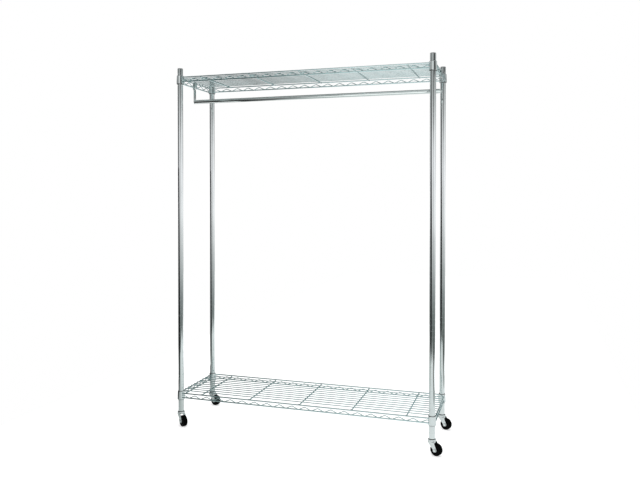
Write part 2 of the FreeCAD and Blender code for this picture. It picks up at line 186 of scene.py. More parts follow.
class Signal:
    def __init__(self, finish, socket):
        self.finish = finish
        self.socket = socket

    def maths(self, operation, *values):
        return self.finish.node("ShaderNodeMath", {"operation": operation}, dict(enumerate(values)))

    def __add__(self, other):
        return self.maths("ADD", self, other)

    def __radd__(self, other):
        return self.maths("ADD", other, self)

    def __sub__(self, other):
        return self.maths("SUBTRACT", self, other)

    def __rsub__(self, other):
        return self.maths("SUBTRACT", other, self)

    def __mul__(self, other):
        return self.maths("MULTIPLY", self, other)

    def __rmul__(self, other):
        return self.maths("MULTIPLY", other, self)

    def __truediv__(self, other):
        return self.maths("DIVIDE", self, other)

    def __rtruediv__(self, other):
        return self.maths("DIVIDE", other, self)


class Finish:
    def __init__(self, name, owner=None):
        self.owner = owner or bpy.data.materials.new(name)
        self.owner.use_nodes = True
        self.tree = self.owner.node_tree
        self.tree.nodes.clear()

    def node(self, kind, settings=None, sockets=None, output=0):
        made = self.tree.nodes.new(kind)
        for name, value in (settings or {}).items():
            if name != "stops":
                setattr(made, name, value)
                continue
            stops = made.color_ramp.elements
            while len(stops) < len(value):
                stops.new(0.5)
            for stop, (place, colour) in zip(stops, value):
                stop.position = place
                stop.color = (*colour, 1)
        for name, value in (sockets or {}).items():
            if isinstance(value, Signal):
                self.tree.links.new(value.socket, made.inputs[name])
            elif made.inputs[name].type == "RGBA":
                made.inputs[name].default_value = (*value, 1)
            else:
                made.inputs[name].default_value = value
        return Signal(self, made.outputs[output]) if len(made.outputs) else made

    def noise(self, scale, detail=3.0, stretch=(1, 1, 1)):
        where = self.node("ShaderNodeTexCoord", output="Object")
        placed = self.node("ShaderNodeMapping", None, {"Vector": where, "Scale": stretch})
        return self.node("ShaderNodeTexNoise", None, {"Vector": placed, "Scale": scale, "Detail": detail})

    def between(self, amount, low, high):
        # noise keeps to the middle of its range, so that part is spread from low to high
        return self.node("ShaderNodeMapRange", None, {
            "Value": amount, "From Min": 0.3, "From Max": 0.7, "To Min": low, "To Max": high})

    def mixColours(self, amount, first, second):
        # sockets 6 and 7 of the mixing node are its colours, and output 2 is their mix
        made = self.node("ShaderNodeMix", {"data_type": "RGBA"}, None, output=2)
        mixer = made.socket.node
        for number, value in ((0, amount), (6, first), (7, second)):
            socket = mixer.inputs[number]
            if isinstance(value, Signal):
                self.tree.links.new(value.socket, socket)
            else:
                socket.default_value = value if isinstance(value, float) else (*value, 1)
        return made

    def surface(self, settings, bump=None):
        sockets = dict(settings)
        if bump:
            height, distance = bump
            sockets["Normal"] = self.node("ShaderNodeBump", None, {"Height": height, "Distance": distance})
        shader = self.node("ShaderNodeBsdfPrincipled", None, sockets)
        self.node("ShaderNodeOutputMaterial", None, {"Surface": shader})
        return self.owner


# smooth and worn: the roughness at its best and where the rack is handled
chromeLook = {"pale": (0.86, 0.89, 0.89), "deep": (0.78, 0.81, 0.81), "smooth": 0.045, "worn": 0.085,
              "cloudScale": 9.0, "filmScale": 60.0, "filmStretch": (1, 1, 0.3), "grainScale": 420.0,
              "grainDepth": 0.0025 * mm}
steelLook = {"pale": (0.58, 0.59, 0.6), "deep": (0.42, 0.43, 0.44), "smooth": 0.25, "worn": 0.42,
             "ringScale": 900.0, "ringStretch": (0.05, 0.05, 1), "ringDepth": 0.02 * mm}
plasticLook = {"shine": 0.5, "cloudScale": 30.0, "grainScale": 700.0, "grainDepth": 0.04 * mm}


def chromePlate(name, **changes):
    look = dict(chromeLook, **changes)
    finish = Finish(name)
    cloud = finish.noise(look["cloudScale"])
    film = finish.noise(look["filmScale"], 4.0, look["filmStretch"])
    grain = finish.noise(look["grainScale"], 2.0)
    colour = finish.mixColours(finish.between(cloud, 0.0, 1.0), look["deep"], look["pale"])
    return finish.surface({"Base Color": colour, "Metallic": 1.0,
                           "Roughness": finish.between(film, look["smooth"], look["worn"])},
                          (grain, look["grainDepth"]))


def plainSteel():
    look = steelLook
    finish = Finish("turnedSteel")
    rings = finish.noise(look["ringScale"], 2.0, look["ringStretch"])
    colour = finish.mixColours(finish.between(rings, 0.0, 1.0), look["deep"], look["pale"])
    return finish.surface({"Base Color": colour, "Metallic": 1.0,
                           "Roughness": finish.between(rings, look["smooth"], look["worn"])},
                          (rings, look["ringDepth"]))


def mouldedPlastic(name, **settings):
    look = dict(plasticLook, **settings)
    finish = Finish(name)
    cloud = finish.noise(look["cloudScale"])
    grain = finish.noise(look["grainScale"], 2.0)
    colour = finish.mixColours(finish.between(cloud, 0.0, 1.0), look["dark"], look["light"])
    return finish.surface({"Base Color": colour,
                           "Roughness": finish.between(cloud, look["smooth"], look["rough"]),
                           "Specular IOR Level": look["shine"]}, (grain, look["grainDepth"]))


postChrome = chromePlate("postChrome")
wireChrome = chromePlate("wireChrome", pale=(0.6, 0.735, 0.74), deep=(0.52, 0.655, 0.66),
                         smooth=0.12, worn=0.24)
rodChrome = chromePlate("rodChrome", pale=(0.72, 0.76, 0.75), deep=(0.64, 0.68, 0.67))
casterPlate = chromePlate("casterPlate", pale=(0.86, 0.88, 0.88), deep=(0.76, 0.79, 0.79),
                          smooth=0.12, worn=0.22)
turnedSteel = plainSteel()
capPlastic = mouldedPlastic("capPlastic", dark=(0.2, 0.21, 0.215), light=(0.27, 0.28, 0.285),
                            smooth=0.35, rough=0.5)
blackPlastic = mouldedPlastic("blackPlastic", dark=(0.012, 0.013, 0.013), light=(0.02, 0.021, 0.021),
                              smooth=0.4, rough=0.55)
wheelPlastic = mouldedPlastic("wheelPlastic", dark=(0.0012, 0.0013, 0.0014),
                              light=(0.003, 0.0032, 0.0033), smooth=0.3, rough=0.42, shine=0.08)
tyreRubber = mouldedPlastic("tyreRubber", dark=(0.0006, 0.0008, 0.0008),
                            light=(0.0016, 0.0019, 0.0019), smooth=0.5, rough=0.65, grainScale=350.0,
                            shine=0.02)
print("finishes ready")


# posts: one pitch of tube with its groove, repeated up the section, then the ends turned in

# lip, wallFoot and floor: where a groove's profile turns, in widths from its middle
postLook = {"sides": 48, "pitch": 25.4 * mm, "grooveWidth": 2.0 * mm, "grooveDepth": 0.5 * mm,
            "lip": 0.5, "wallFoot": 0.48, "floor": 0.46, "wallFootDepth": 0.8, "wall": 1.2 * mm,
            "endChamfer": 0.6 * mm}


def postSection(bottom, top, radius, foot):
    # foot is the lower end of the whole post, from which the grooves are counted
    pitch, groove = postLook["pitch"], postLook["grooveWidth"]
    lip, wallFoot, floor = postLook["lip"], postLook["wallFoot"], postLook["floor"]
    first = math.floor((bottom - foot) / pitch + 0.5) + 1
    count = round((top - foot) / pitch) - first
    start = foot + (first - 0.5) * pitch
    clearSelection()
    bpy.ops.mesh.primitive_cylinder_add(vertices=postLook["sides"], radius=radius, depth=pitch,
                                        end_fill_type="NOTHING", location=(0, 0, start + pitch / 2))
    post = settle()
    openForEdit(post)
    middle = start + pitch / 2
    for cut in (-lip, -wallFoot, -floor, floor, wallFoot, lip):
        bpy.ops.mesh.select_all(action="SELECT")
        bpy.ops.mesh.bisect(plane_co=(0, 0, middle + cut * groove), plane_no=(0, 0, 1),
                            threshold=0.002 * mm)
    footRadius = radius - postLook["wallFootDepth"] * postLook["grooveDepth"]
    floorRadius = radius - postLook["grooveDepth"]
    for reach, scale in (((lip + wallFoot) / 2, footRadius / radius),
                         ((wallFoot + floor) / 2, floorRadius / footRadius)):
        pickPoints(post, lambda place: abs(place.z - middle) < reach * groove)
        bpy.ops.transform.resize(value=(scale, scale, 1), center_override=(0, 0, middle))
    bpy.ops.object.mode_set(mode="OBJECT")
    modify(post, "ARRAY", count=count, use_relative_offset=False, use_constant_offset=True,
           constant_offset_displace=(0, 0, pitch), use_merge_vertices=True, merge_threshold=joinGap)
    openForEdit(post)
    chamfer = postLook["endChamfer"]
    for end, edge, inward in ((bottom, start, 1), (top, start + count * pitch, -1)):
        pickPoints(post, lambda place: abs(place.z - edge) < near)
        push(0, 0, end + inward * chamfer - edge)
        push(0, 0, -inward * chamfer)
        inset = (radius - chamfer) / radius
        bpy.ops.transform.resize(value=(inset, inset, 1), center_override=(0, 0, end))
        push(0, 0, 0)
        bore = (radius - postLook["wall"]) / (radius - chamfer)
        bpy.ops.transform.resize(value=(bore, bore, 1), center_override=(0, 0, end))
    inside = radius - postLook["wall"] + 10 * near
    pickPoints(post, lambda place: Vector((place.x, place.y)).length < inside)
    bpy.ops.mesh.bridge_edge_loops()
    cleanFaces()
    return post


postPlace = {}
for part in ("lower", "upper"):
    low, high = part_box("front_left_" + part + "_post")
    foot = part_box("front_left_lower_post")[0].z
    model = postSection(low.z, high.z, (high.x - low.x) / 2, foot)
    for corner in corners:
        node = corner + "_" + part + "_post"
        low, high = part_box(node)
        post = copyOf(model, ((low.x + high.x) / 2, (low.y + high.y) / 2, 0))
        finishPiece(post, node + "_tube", "rack", postChrome, [node])
        postPlace[corner] = Vector(((low.x + high.x) / 2, (low.y + high.y) / 2, 0))
    bpy.data.objects.remove(model)
print("posts ready")


# caps: a plug with a low domed head

capLook = {"head": 4.0 * mm, "headRadius": 12.5 * mm, "headEdge": 0.3 * mm, "rim": 1.6 * mm,
           "shoulderIn": 3.0 * mm, "shoulderUp": 2.0 * mm, "domeEdge": 0.4, "domeDrop": 0.1 * mm,
           "crown": 0.5 * mm, "plugRadius": 11.4 * mm, "plugDepth": 13.5 * mm, "plugChamfer": 0.8 * mm,
           "sides": 40}


def postCap(top):
    look = capLook
    base, wide, edge = top - look["head"], look["headRadius"], look["headEdge"]
    plug, chamfer = look["plugRadius"], look["plugChamfer"]
    plugEnd, rim = base - look["plugDepth"], base + look["rim"]
    steps = [(plug - chamfer, plugEnd), (plug, plugEnd + chamfer), (plug, base), (wide - edge, base),
             (wide, base + edge), (wide, rim)]
    for turn in (20, 40, 60, 75, 90):
        angle = math.radians(turn)
        steps.append((wide - look["shoulderIn"] * (1 - math.cos(angle)),
                      rim + look["shoulderUp"] * math.sin(angle)))
    steps += [(wide * look["domeEdge"], top - look["domeDrop"]), (look["crown"], top)]
    return turnOnLathe(steps, look["sides"])


model = postCap(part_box("front_left_post_cap")[1].z)
for corner in corners:
    finishPiece(copyOf(model, postPlace[corner]), corner + "_cap_moulding", "rack",
                capPlastic, [corner + "_post_cap"])
bpy.data.objects.remove(model)
print("caps ready")


# shelves: everything is modelled at the height that the frame gives for each shelf

collarLook = {"wall": 2.0 * mm, "taper": 1.3 * mm, "lip": 0.6 * mm, "boreEdge": 0.3 * mm, "sides": 64}
sleeveLook = {"slot": 1.0 * mm, "fit": 0.05 * mm, "steps": 24}
# spacing is between the middles of a shelf's lower and upper edge wires
wireLook = {"sides": 16, "edge": 5.5 * mm, "snake": 3.8 * mm, "deck": 4.0 * mm, "brace": 5.5 * mm,
            "spacing": 20.5 * mm, "snakePitch": 60.96 * mm, "snakeBend": 14.0 * mm, "snakeSides": 12,
            "snakeSteps": 3, "gap": 0.05 * mm, "deckCount": 10, "deckPitch": 30.0 * mm,
            "braceCount": 5, "bracePitch": 243.84 * mm, "braceBend": 6.0 * mm, "braceSteps": 6,
            "braceEdge": 0.8 * mm, "weldReach": 1.6 * mm, "edgeRounding": 0.1, "deckRounding": 0.25}


def cornerCollar(low, high, radiusLow):
    # a second step by each lip keeps the long side's shading flat up to there
    wall, taper, lip = collarLook["wall"], collarLook["taper"], collarLook["lip"]
    boreEdge = collarLook["boreEdge"]
    radiusHigh = radiusLow - taper
    slope = taper / (high - low)
    return turnOnLathe([
        (radiusLow - wall, low), (radiusLow - lip, low), (radiusLow - 0.3 * lip, low + 0.3 * lip),
        (radiusLow - slope * lip, low + lip), (radiusLow - 2 * slope * lip, low + 2 * lip),
        (radiusHigh + 2 * slope * lip, high - 2 * lip), (radiusHigh + slope * lip, high - lip),
        (radiusHigh - 0.3 * lip, high - 0.3 * lip), (radiusHigh - lip, high),
        (radiusHigh - wall + boreEdge, high), (radiusHigh - wall, high - boreEdge)],
        collarLook["sides"], ring=True)


def halfSleeve(low, high, inner, outerLow, outerHigh):
    # a thin upright section is spun round the post, short of the slots by half their width
    clearSelection()
    middle = ((inner + outerLow) / 2, 0, (low + high) / 2)
    bpy.ops.mesh.primitive_plane_add(size=1, location=middle, rotation=(math.radians(90), 0, 0))
    sleeve = settle()
    openForEdit(sleeve)
    bpy.ops.transform.resize(value=(outerLow - inner, 1, high - low), center_override=middle)
    pickPoints(sleeve, lambda place: place.z > middle[2] and place.x > middle[0])
    bpy.ops.transform.translate(value=(outerHigh - outerLow, 0, 0))
    bpy.ops.mesh.select_all(action="SELECT")
    slot = math.degrees(sleeveLook["slot"] / inner)
    bpy.ops.transform.rotate(value=-math.radians(slot / 2), orient_axis="Z", center_override=(0, 0, 0))
    bend((0, 0, 0), (0, 0, 1), 180 - slot, sleeveLook["steps"])
    cleanFaces()
    return sleeve


def straightWire(start, end, diameter, rounding):
    # rounding is the end's rounding as a share of the diameter
    clearSelection()
    along = Vector(end) - Vector(start)
    bpy.ops.mesh.primitive_cylinder_add(vertices=wireLook["sides"], radius=diameter / 2, depth=along.length,
                                        location=(Vector(start) + Vector(end)) / 2,
                                        rotation=along.to_track_quat("Z", "Y").to_euler())
    wire = settle()
    softenEdges(wire, diameter * rounding, 2, 60)
    return wire


def snakeWire(halfLength, crestInMiddle):
    # one wave from crest to crest by bends and straight runs, repeated and cut to length
    radius, pitch, steps = wireLook["snakeBend"], wireLook["snakePitch"], wireLook["snakeSteps"]
    reach = (wireLook["spacing"] - wireLook["edge"] - wireLook["snake"]) / 2 - wireLook["gap"]
    half, rise = pitch / 2, 2 * (radius - reach)
    slope = math.asin(2 * radius / math.hypot(half, rise)) - math.atan2(rise, half)
    run = (half - 2 * radius * math.sin(slope)) / math.cos(slope)
    degrees = math.degrees(slope)
    clearSelection()
    bpy.ops.mesh.primitive_circle_add(vertices=wireLook["snakeSides"], radius=wireLook["snake"] / 2,
                                      location=(0, 0, reach), rotation=(0, math.radians(90), 0))
    wire = settle()
    openForEdit(wire)
    bend((0, 0, reach - radius), (0, 1, 0), degrees, steps)
    push(run * math.cos(slope), 0, -run * math.sin(slope))
    bend((half, 0, radius - reach), (0, 1, 0), -2 * degrees, 2 * steps)
    push(run * math.cos(slope), 0, run * math.sin(slope))
    bend((pitch, 0, reach - radius), (0, 1, 0), degrees, steps)
    bpy.ops.object.mode_set(mode="OBJECT")
    count = 2 * math.ceil(halfLength / pitch + 0.5)
    modify(wire, "ARRAY", count=count, use_relative_offset=False, use_constant_offset=True,
           constant_offset_displace=(pitch, 0, 0), use_merge_vertices=True,
           merge_threshold=2 * joinGap)
    openForEdit(wire)
    offset = -count / 2 * pitch if crestInMiddle else -(count / 2 - 0.5) * pitch
    bpy.ops.transform.translate(value=(offset, 0, 0))
    for side in (-1, 1):
        bpy.ops.mesh.select_all(action="SELECT")
        bpy.ops.mesh.bisect(plane_co=(side * halfLength, 0, 0), plane_no=(side, 0, 0), use_fill=True,
                            clear_outer=True)
    cleanFaces()
    return wire


def crossBrace(tip, height):
    # a straight run with both ends bent up
    radius, steps = wireLook["braceBend"], wireLook["braceSteps"]
    clearSelection()
    bpy.ops.mesh.primitive_circle_add(vertices=wireLook["sides"], radius=wireLook["brace"] / 2,
                                      location=(0, -tip, height + radius), fill_type="NGON")
    brace = settle()
    openForEdit(brace)
    bend((0, radius - tip, height + radius), (1, 0, 0), 90, steps)
    push(0, 2 * (tip - radius), 0)
    bend((0, tip - radius, height + radius), (1, 0, 0), 90, steps)
    cleanFaces()
    softenEdges(brace, wireLook["braceEdge"], 2, 60)
    return brace


def repeated(piece, count, step):
    half = (count - 1) / 2
    piece.data.transform(Matrix.Translation(Vector(step) * -half))
    modify(piece, "ARRAY", count=count, use_relative_offset=False, use_constant_offset=True,
           constant_offset_displace=step)
    return piece


def buildShelf(shelf):
    node = shelf + "_shelf_"
    post = postPlace["back_right"]
    low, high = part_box(node + "collars")
    collarRadius = high.x - post.x
    model = cornerCollar(low.z, high.z, collarRadius)
    parts = [copyOf(model, postPlace[corner]) for corner in corners]
    finishPiece(joinAll(parts, node), node + "corner_cones", "rack", postChrome,
                [node + "collars"])
    bpy.data.objects.remove(model)

    sleeveLow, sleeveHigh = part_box(node + "right_sleeves")
    outer = sleeveHigh.x - post.x
    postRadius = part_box("back_right_lower_post")[1].x - post.x
    model = halfSleeve(sleeveLow.z, sleeveHigh.z, postRadius + sleeveLook["fit"], outer,
                       outer - collarLook["taper"] * (sleeveHigh.z - sleeveLow.z) / (high.z - low.z))
    for side in ("left", "right"):
        parts = [copyOf(model, postPlace[corner], turn)
                 for corner in corners if corner.endswith(side) for turn in (0, 180)]
        finishPiece(joinAll(parts, node), node + side + "_split_sleeves", "rack",
                    blackPlastic, [node + side + "_sleeves"])
    bpy.data.objects.remove(model)

    def finishWires(piece, name):
        finishPiece(piece, node + name[:-1] + "_set", "rack", wireChrome, [node + name])

    # side wires end just inside the round collars
    seat = collarRadius - wireLook["weldReach"]

    def halfLength(postAlong, postAcross, wireAcross):
        return postAlong - math.sqrt(seat ** 2 - (wireAcross - postAcross) ** 2)

    edgeLow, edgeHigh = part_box(node + "end_wires")
    diameter = wireLook["edge"]
    for name, lengthways in (("long_edge_wires", True), ("end_wires", False)):
        wireLow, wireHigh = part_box(node + name)
        parts = []
        for side in (wireLow, wireHigh):
            for z in (wireLow.z + diameter / 2, wireHigh.z - diameter / 2):
                if lengthways:
                    y = math.copysign(abs(side.y) - diameter / 2, side.y)
                    x = halfLength(post.x, post.y, abs(y))
                    start, end = (-x, y, z), (x, y, z)
                else:
                    x = math.copysign(abs(side.x) - diameter / 2, side.x)
                    y = halfLength(post.y, post.x, abs(x))
                    start, end = (x, -y, z), (x, y, z)
                parts.append(straightWire(start, end, diameter, wireLook["edgeRounding"]))
        finishWires(joinAll(parts, node), name)

    for name, lengthways in (("long_snake_wires", True), ("end_snake_wires", False)):
        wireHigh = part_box(node + name)[1]
        height = (edgeLow.z + edgeHigh.z) / 2
        inset = wireLook["snake"] / 2
        parts = []
        for side in (-1, 1):
            if lengthways:
                y = wireHigh.y - inset
                wire = snakeWire(halfLength(post.x, post.y, y), False)
                parts.append(copyOf(wire, (0, side * y, height)))
            else:
                x = wireHigh.x - inset
                wire = snakeWire(halfLength(post.y, post.x, x), True)
                parts.append(copyOf(wire, (side * x, 0, height), 90))
            bpy.data.objects.remove(wire)
        finishWires(joinAll(parts, node), name)

    wireLow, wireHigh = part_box(node + "deck_wires")
    height = (wireLow.z + wireHigh.z) / 2
    deck = repeated(straightWire((wireLow.x, 0, height), (wireHigh.x, 0, height), wireLook["deck"],
                                 wireLook["deckRounding"]),
                    wireLook["deckCount"], (0, wireLook["deckPitch"], 0))
    finishWires(deck, "deck_wires")

    wireLow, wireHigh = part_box(node + "cross_braces")
    brace = crossBrace(wireHigh.y - wireLook["brace"] / 2, wireLow.z + wireLook["brace"] / 2)
    braces = repeated(brace, wireLook["braceCount"], (wireLook["bracePitch"], 0, 0))
    finishWires(braces, "cross_braces")
    print(shelf, "shelf ready")


for shelf in shelves:
    buildShelf(shelf)


# hanging rod, its two strip brackets and their screws

rodLook = {"sides": 48, "wall": 1.2 * mm, "endGap": 0.05 * mm, "edge": 0.25 * mm}
stripLook = {"thickness": 3.0 * mm, "width": 20.0 * mm, "insideBend": 1.2 * mm, "bendSteps": 6,
             "joggleBend": 5.0 * mm, "joggleSteps": 4, "legBelowWire": 4.0 * mm, "neck": 3.0 * mm,
             "footSteps": 10, "edge": 0.35 * mm}
screwLook = {"radius": 5.5 * mm, "height": 3.0 * mm, "shank": 3.0 * mm, "length": 16.0 * mm,
             "recess": 2.3 * mm, "recessDepth": 1.3 * mm, "edge": 0.3 * mm, "sides": 32}
rodLow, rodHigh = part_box("hang_rod")
rodMiddle = (rodLow + rodHigh) / 2
stripInside = rodHigh.x + rodLook["endGap"]


def hangRod():
    clearSelection()
    bpy.ops.mesh.primitive_cylinder_add(vertices=rodLook["sides"], radius=(rodHigh.z - rodLow.z) / 2,
                                        depth=rodHigh.x - rodLow.x, end_fill_type="NOTHING",
                                        location=rodMiddle, rotation=(0, math.radians(90), 0))
    rod = settle()
    modify(rod, "SOLIDIFY", thickness=rodLook["wall"], offset=-1)
    softenEdges(rod, rodLook["edge"], 2, 60)
    return rod


def hangerStrip():
    # the right-hand strip: up inside the end wires, over them, down outside, joggled in to the rod
    low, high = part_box("hanger_brackets")
    thick, width, steps = stripLook["thickness"], stripLook["width"], stripLook["bendSteps"]
    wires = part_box("top_shelf_end_wires")
    outerX, footX = high.x - thick / 2, stripInside + thick / 2
    wireX = wires[1].x - wireLook["edge"] / 2
    innerX = 2 * wireX - outerX
    legBottom = wires[0].z - stripLook["legBelowWire"]
    corner = stripLook["insideBend"] + thick / 2
    crown = high.z - thick / 2
    clearSelection()
    bpy.ops.mesh.primitive_plane_add(size=1, location=(innerX, 0, legBottom))
    strip = settle()
    openForEdit(strip)
    bpy.ops.transform.resize(value=(thick, width, 1), center_override=(innerX, 0, legBottom))
    push(0, 0, crown - corner - legBottom)
    bend((innerX + corner, 0, crown - corner), (0, 1, 0), 90, steps)
    push(outerX - innerX - 2 * corner, 0, 0)
    bend((outerX - corner, 0, crown - corner), (0, 1, 0), 90, steps)
    joggleTop = wires[0].z - stripLook["neck"]
    push(0, 0, joggleTop - crown + corner)
    sweep = stripLook["joggleBend"]
    angle = math.acos(1 - (outerX - footX) / (2 * sweep))
    bend((outerX - sweep, 0, joggleTop), (0, 1, 0), math.degrees(angle), stripLook["joggleSteps"])
    joggleBottom = joggleTop - 2 * sweep * math.sin(angle)
    bend((footX + sweep, 0, joggleBottom), (0, 1, 0), -math.degrees(angle), stripLook["joggleSteps"])
    push(0, 0, low.z - joggleBottom)
    # the foot's two short edges are rounded until they all but meet in a half circle
    pickEdges(strip, lambda a, b: max(a.z, b.z) < low.z + 10 * near and abs(a.y - b.y) < 10 * near)
    bpy.ops.mesh.bevel(offset=width / 2 - 2 * near, segments=stripLook["footSteps"], affect="EDGES")
    cleanFaces()
    softenEdges(strip, stripLook["edge"], 2, 50)
    return strip


def panScrew():
    head, tall, edge = screwLook["radius"], screwLook["height"], screwLook["edge"]
    screw = turnOnLathe([
        (screwLook["shank"], -screwLook["length"]), (screwLook["shank"], 0), (head - edge, 0),
        (head, edge), (head, 0.4 * tall), (head * 0.93, 0.7 * tall), (head * 0.78, 0.92 * tall),
        (head * 0.6, tall), (screwLook["recess"], tall),
        (screwLook["recess"], tall - screwLook["recessDepth"])], screwLook["sides"])
    seat = (stripInside + stripLook["thickness"], 0, rodMiddle.z)
    screw.data.transform(Matrix.Translation(seat) @ Matrix.Rotation(math.radians(90), 4, "Y"))
    return screw


def bothEnds(piece):
    # the right-hand piece with its mirror image at the left end
    twin = copyOf(piece)
    twin.data.transform(Matrix.Scale(-1, 4, (1, 0, 0)))
    openForEdit(twin)
    cleanFaces()
    return joinAll([piece, twin], "pair")


finishPiece(hangRod(), "hang_rod_tube", "rack", rodChrome, ["hang_rod"])
finishPiece(bothEnds(hangerStrip()), "hanger_strips", "rack", rodChrome, ["hanger_brackets"])
finishPiece(bothEnds(panScrew()), "hanger_pan_screws", "rack", rodChrome, ["hanger_screws"])
print("hanging rod ready")


# casters: modelled about the swivel axis with the wheel trailing along +X, then turned into place

casterLook = {"legOutside": 13.4 * mm, "sheet": 2.0 * mm, "foldRadius": 4.0 * mm, "foldSteps": 5,
              "footRadius": 8.0 * mm, "topBack": 13.0 * mm, "topFront": 17.0 * mm, "shoulder": 3.0 * mm,
              "seatRadius": 16.5 * mm, "seatEdge": 0.4 * mm, "crown": 2.2 * mm, "crownGap": 0.1 * mm,
              "edge": 0.3 * mm, "sides": 48}
wheelLook = {"hub": 9.0 * mm, "hubHalf": 10.9 * mm, "hubEdge": 0.6 * mm, "bore": 5.56 * mm,
             "web": 3.0 * mm, "rim": 20.45 * mm, "rimInside": 17.05 * mm, "rimHalf": 9.5 * mm,
             "fillet": 1.2 * mm, "edge": 0.4 * mm, "sides": 64}
tyreLook = {"inside": 20.5 * mm, "half": 10.0 * mm, "shoulder": 3.0 * mm, "drop": 1.5 * mm, "sides": 72}
boltLook = {"head": 13.0 * mm, "headHeight": 4.0 * mm, "headEdge": 0.5 * mm, "nutHeight": 5.0 * mm,
            "shank": 4.0 * mm, "beyondNut": 1.5 * mm, "tipEdge": 0.7 * mm, "gap": 0.05 * mm, "sides": 32}
stemLook = {"radius": 5.0 * mm, "rivetHeight": 2.8 * mm, "tipEdge": 1.0 * mm, "sides": 32}
raceLook = {"wall": 2.0 * mm, "bore": 5.05 * mm, "edge": 0.3 * mm, "rounding": 2.0 * mm, "sides": 64}
socketLook = {"gap": 0.05 * mm, "edge": 0.4 * mm, "flangeEdge": 0.3 * mm, "tipEdge": 1.0 * mm,
              "sides": 48}

joints = {joint["name"]: joint for joint in frame["joints"]}
firstSwivel = Vector(joints["front_left_swivel"]["pos_m"])
firstWheel = Vector(joints["front_left_wheel_spin"]["pos_m"])
trail = (firstWheel - firstSwivel).to_2d().length
axleHeight = firstWheel.z
wheelRadius = (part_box("front_left_tyre")[1].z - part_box("front_left_tyre")[0].z) / 2
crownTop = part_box("front_left_caster_fork")[1].z


def forkSheet():
    # one leg's outline round its foot, folded over the top to the middle, then mirrored
    look = casterLook
    sheet = look["sheet"]
    legY, top = look["legOutside"] - sheet / 2, crownTop - look["crownGap"] - sheet / 2
    fold = look["foldRadius"] - sheet / 2
    shoulder = top - fold
    foot = Vector((trail, axleHeight))
    clearSelection()
    bpy.ops.mesh.primitive_circle_add(vertices=look["sides"], radius=look["footRadius"],
                                      location=(trail, legY, axleHeight),
                                      rotation=(math.radians(90), 0, 0))
    fork = settle()
    openForEdit(fork)
    frontCorner = Vector((look["topFront"], shoulder))
    backCorner = Vector((-look["topBack"], crownTop - look["shoulder"] - fold))

    def tangent(point, side):
        away = point - foot
        return math.atan2(away.y, away.x) + side * math.acos(look["footRadius"] / away.length)

    front, back = tangent(frontCorner, -1), tangent(backCorner, 1)
    pickPoints(fork, lambda place: front < math.atan2(place.z - foot.y, place.x - foot.x) < back)
    bpy.ops.mesh.delete(type="VERT")
    mesh = bmesh.from_edit_mesh(fork.data)
    ends = [point for point in mesh.verts if len(point.link_edges) == 1]
    start, finish = sorted(ends, key=lambda point: -point.co.x)
    finishAt = finish.co.copy()
    bpy.ops.mesh.select_all(action="DESELECT")
    start.select = True
    place = start.co.copy()
    bmesh.update_edit_mesh(fork.data)
    for x, z in ((frontCorner.x, shoulder), (-look["topBack"], shoulder), (backCorner.x, backCorner.y),
                 (finishAt.x, finishAt.z)):
        bpy.ops.mesh.extrude_vertices_move(TRANSFORM_OT_translate={"value": (x - place.x, 0, z - place.z)})
        place = Vector((x, legY, z))
    bpy.ops.mesh.select_all(action="SELECT")
    bpy.ops.mesh.remove_doubles(threshold=joinGap)
    bpy.ops.mesh.edge_face_add()
    pickEdges(fork, lambda a, b: min(a.z, b.z) > shoulder - near)
    bend((0, legY - fold, shoulder), (1, 0, 0), 90, look["foldSteps"])
    push(0, fold - legY, 0)
    bpy.ops.object.mode_set(mode="OBJECT")
    modify(fork, "MIRROR", use_axis=(False, True, False), use_mirror_merge=True,
           merge_threshold=joinGap)
    openForEdit(fork)
    cleanFaces()
    modify(fork, "SOLIDIFY", thickness=sheet, offset=0)
    softenEdges(fork, look["edge"], 2, 50)
    wide, edge, base = look["seatRadius"], look["seatEdge"], crownTop - look["crown"]
    seat = turnOnLathe([(wide - edge, base), (wide, base + edge), (wide, crownTop - edge),
                        (wide - edge, crownTop)], look["sides"])
    modify(fork, "BOOLEAN", object=seat, operation="UNION", solver="EXACT")
    bpy.data.objects.remove(seat)
    return fork


def onAxle(piece):
    # lays what was turned upright along the wheel's axle
    lying = Matrix.Rotation(math.radians(90), 4, "X")
    piece.data.transform(Matrix.Translation((trail, 0, axleHeight)) @ lying)
    return piece


def hexagon(low, high):
    width, rounding = boltLook["head"], boltLook["headEdge"]
    clearSelection()
    bpy.ops.mesh.primitive_cylinder_add(vertices=6, radius=width / math.sqrt(3), depth=high - low,
                                        location=(0, 0, (low + high) / 2))
    piece = settle()
    softenEdges(piece, rounding, 3, 40)
    return piece


def axleBolt():
    radius, edge = boltLook["shank"], boltLook["tipEdge"]
    face = casterLook["legOutside"] + boltLook["gap"]
    end = face + boltLook["nutHeight"]
    shank = turnOnLathe([(radius, -face), (radius, end + edge),
                         (radius - edge, end + boltLook["beyondNut"])], boltLook["sides"])
    head = hexagon(-face - boltLook["headHeight"], -face)
    nut = hexagon(face, end)
    return onAxle(joinAll([head, shank, nut], "bolt"))


def bothFaces(half, sides):
    # a wheel's profile from one face, mirrored to the other and turned
    return onAxle(turnOnLathe(half + [(radius, -height) for radius, height in reversed(half)], sides,
                              ring=True))


def wheelCore():
    look = wheelLook
    bore, hub, hubHalf, hubEdge = look["bore"], look["hub"], look["hubHalf"], look["hubEdge"]
    web, fillet, edge = look["web"], look["fillet"], look["edge"]
    rimInside, rimHalf = look["rimInside"], look["rimHalf"]
    return bothFaces([
        (bore, hubHalf - edge), (bore + edge, hubHalf), (hub - hubEdge, hubHalf), (hub, hubHalf - hubEdge),
        (hub, web + fillet), (hub + fillet * 0.3, web + fillet * 0.3), (hub + fillet, web),
        (rimInside - fillet, web), (rimInside - fillet * 0.3, web + fillet * 0.3),
        (rimInside, web + fillet), (rimInside, rimHalf - edge), (rimInside + edge, rimHalf),
        (look["rim"], rimHalf)], look["sides"])


